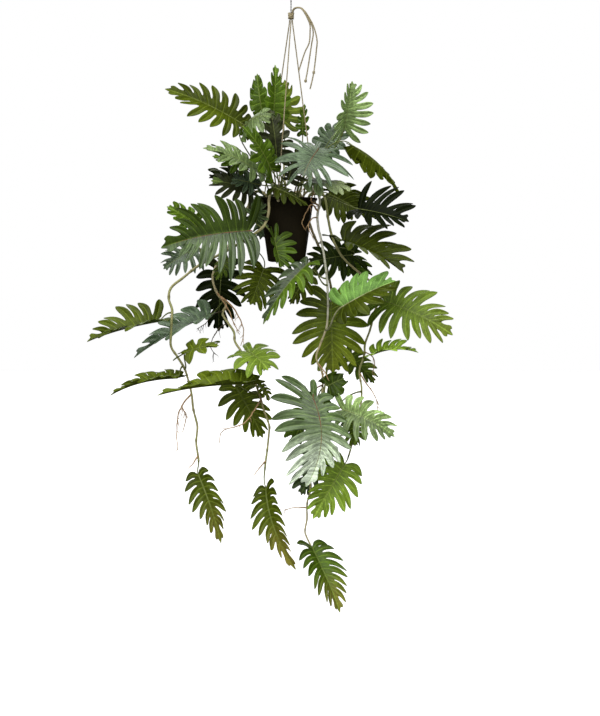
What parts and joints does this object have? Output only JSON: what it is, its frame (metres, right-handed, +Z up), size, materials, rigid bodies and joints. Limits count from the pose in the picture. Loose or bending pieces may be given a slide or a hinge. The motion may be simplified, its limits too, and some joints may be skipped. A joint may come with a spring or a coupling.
{
  "type": "hanging potted philodendron",
  "caption": "Split-leaved philodendron trailing over the rim of a small dark pot that hangs from three jute cords, a knot and a wire eye",
  "frame": {"origin": "the point inside the top of the wire eye where a hook bears", "axes": "+Z up, the front of the plant faces -Y, +X is to the right of someone who looks at the front"},
  "size_m": [0.8003, 0.3973, 1.3712],
  "materials": {
    "leaf_dark": "very dark green leaf, satin",
    "leaf_green": "mid green leaf, satin",
    "leaf_olive": "olive green leaf, satin",
    "leaf_bright": "bright green leaf, satin",
    "leaf_silver": "blue green leaf with a pale sheen",
    "stem": "tan to green stem, matte",
    "jute": "twisted natural jute",
    "wire": "plain steel wire",
    "pot": "very dark brown, matte",
    "filling": "dark bark and peat mix"
  },
  "bodies": {
    "root": {"crown_leaf_01": "leaf_olive", "crown_leaf_02": "leaf_green", "crown_leaf_03": "leaf_green", "crown_leaf_04": "leaf_silver", "crown_leaf_05": "leaf_green", "crown_leaf_06": "leaf_silver", "crown_leaf_07": "leaf_dark", "crown_leaf_08": "leaf_silver", "crown_leaf_09": "leaf_silver", "crown_leaf_11": "leaf_silver", "crown_leaf_12": "leaf_olive", "crown_leaf_13": "leaf_dark", "crown_leaf_14": "leaf_silver", "crown_leaf_15": "leaf_olive", "crown_leaf_39": "leaf_green", "left_leaf_38": "leaf_green", "left_leaf_45": "leaf_green", "left_leaf_40": "leaf_silver", "left_leaf_30": "leaf_olive", "left_leaf_33": "leaf_olive", "left_leaf_28": "leaf_olive", "left_leaf_31": "leaf_silver", "left_leaf_43": "leaf_olive", "left_leaf_44": "leaf_dark", "left_leaf_36": "leaf_bright", "left_leaf_34": "leaf_olive", "left_leaf_35": "leaf_olive", "left_leaf_29": "leaf_olive", "centre_leaf_46": "leaf_green", "centre_leaf_47": "leaf_olive", "centre_leaf_20": "leaf_olive", "centre_leaf_18": "leaf_bright", "centre_leaf_21": "leaf_green", "centre_leaf_27": "leaf_green", "right_leaf_16": "leaf_olive", "right_leaf_17": "leaf_dark", "right_leaf_19": "leaf_bright", "right_leaf_48": "leaf_bright", "right_leaf_23": "leaf_silver", "right_leaf_25": "leaf_green", "right_leaf_24": "leaf_bright", "stem_left": "stem", "stem_left_centre": "stem", "stem_right_centre": "stem", "stem_right": "stem", "stem_back": "stem", "shoot_front": "leaf_green", "shoot_back_left": "leaf_green", "shoot_back_middle": "leaf_green", "shoot_back_right": "leaf_green", "hanger_cord_left": "jute", "hanger_cord_front": "jute", "hanger_cord_right": "jute", "cord_tail_short": "jute", "cord_tail_middle": "jute", "cord_tail_long": "jute", "cord_knot": "jute", "hanging_wire": "wire", "pot": "pot", "filling": "filling"}
  },
  "joints": []
}
